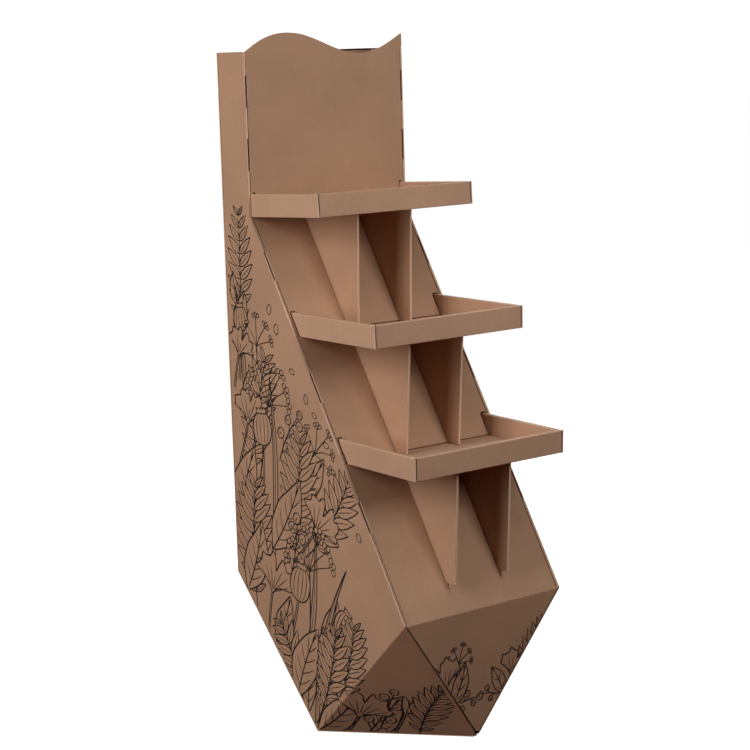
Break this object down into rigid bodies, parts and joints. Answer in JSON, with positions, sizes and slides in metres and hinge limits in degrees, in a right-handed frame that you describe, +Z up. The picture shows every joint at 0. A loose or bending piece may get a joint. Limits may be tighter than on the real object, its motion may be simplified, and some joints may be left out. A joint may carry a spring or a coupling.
{
  "type": "cardboard display stand",
  "caption": "Free-standing display stand of folded corrugated board with a waved header, a sloping front, roll-over trays on ribs and a pointed foot.",
  "frame": {"origin": "on the floor, under the centre of the whole stand's bounding box", "axes": "+Z up, -Y to the front where the trays are, +X to the right seen from the front"},
  "size_m": [0.484, 0.6688, 1.6423],
  "materials": {
    "kraft_outer": "matte brown kraft liner on corrugated board",
    "kraft_back": "matte brown kraft liner, lighter board",
    "kraft_rib": "matte brown kraft liner on corrugated board",
    "kraft_tray": "matte brown kraft liner on corrugated board",
    "greyboard": "matte grey solid board"
  },
  "bodies": {
    "root": {"side_panel_left": "kraft_outer", "side_panel_right": "kraft_outer", "front_sheet": "kraft_outer", "back_sheet": "kraft_back", "rib_left": "kraft_rib", "rib_right": "kraft_rib", "upper_tray": "kraft_tray", "middle_tray": "kraft_tray", "lower_tray": "kraft_tray", "ballast_block_1": "greyboard", "ballast_block_2": "greyboard", "ballast_block_3": "greyboard"}
  },
  "joints": []
}
